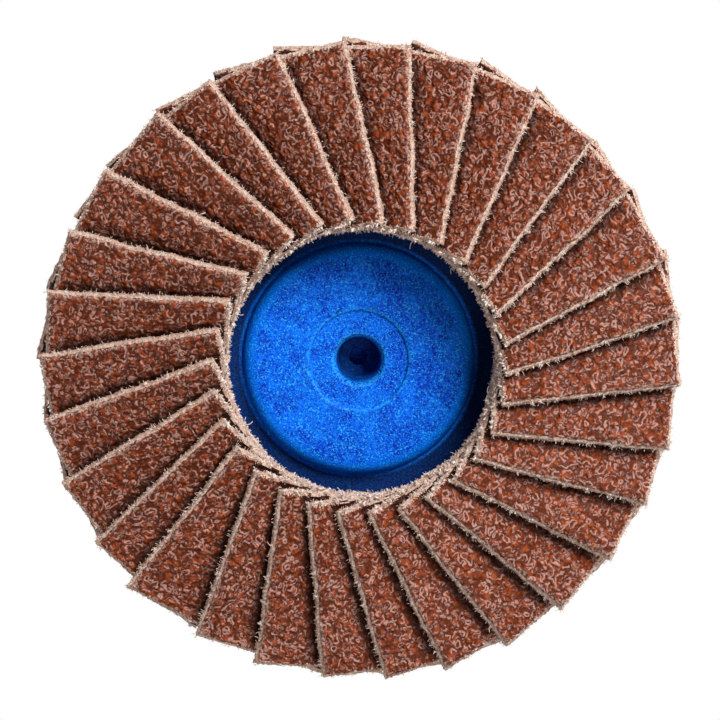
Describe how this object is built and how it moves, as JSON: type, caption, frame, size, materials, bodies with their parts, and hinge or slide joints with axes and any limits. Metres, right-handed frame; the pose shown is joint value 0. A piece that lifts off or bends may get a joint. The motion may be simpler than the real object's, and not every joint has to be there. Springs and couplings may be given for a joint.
{
  "type": "flap disc",
  "caption": "Quick-change flap disc: overlapping flaps of coarse abrasive cloth bonded in a ring on a blue moulded plate with a screw stud on its back.",
  "frame": {"origin": "on the spindle axis in the plane of the plate's flat back seat, where the screw stud leaves it", "axes": "+Z along the spindle axis, out of the grain side; +Y to the first flap"},
  "size_m": [0.0508, 0.0504, 0.0166],
  "materials": {
    "plate_nylon": "blue glass-filled nylon, matt with a fine mottle",
    "epoxy": "cured amber-brown epoxy",
    "abrasive_cloth": "coarse brown grain in glossy resin on beige cotton cloth"
  },
  "bodies": {
    "root": {"backing_plate": "plate_nylon", "adhesive_bed": "epoxy", "flap_01": "abrasive_cloth", "flap_02": "abrasive_cloth", "flap_03": "abrasive_cloth", "flap_04": "abrasive_cloth", "flap_05": "abrasive_cloth", "flap_06": "abrasive_cloth", "flap_07": "abrasive_cloth", "flap_08": "abrasive_cloth", "flap_09": "abrasive_cloth", "flap_10": "abrasive_cloth", "flap_11": "abrasive_cloth", "flap_12": "abrasive_cloth", "flap_13": "abrasive_cloth", "flap_14": "abrasive_cloth", "flap_15": "abrasive_cloth", "flap_16": "abrasive_cloth", "flap_17": "abrasive_cloth", "flap_18": "abrasive_cloth", "flap_19": "abrasive_cloth", "flap_20": "abrasive_cloth", "flap_21": "abrasive_cloth", "flap_22": "abrasive_cloth", "flap_23": "abrasive_cloth", "flap_24": "abrasive_cloth", "flap_25": "abrasive_cloth", "flap_26": "abrasive_cloth", "flap_27": "abrasive_cloth", "flap_28": "abrasive_cloth", "flap_29": "abrasive_cloth", "flap_30": "abrasive_cloth"}
  },
  "joints": []
}
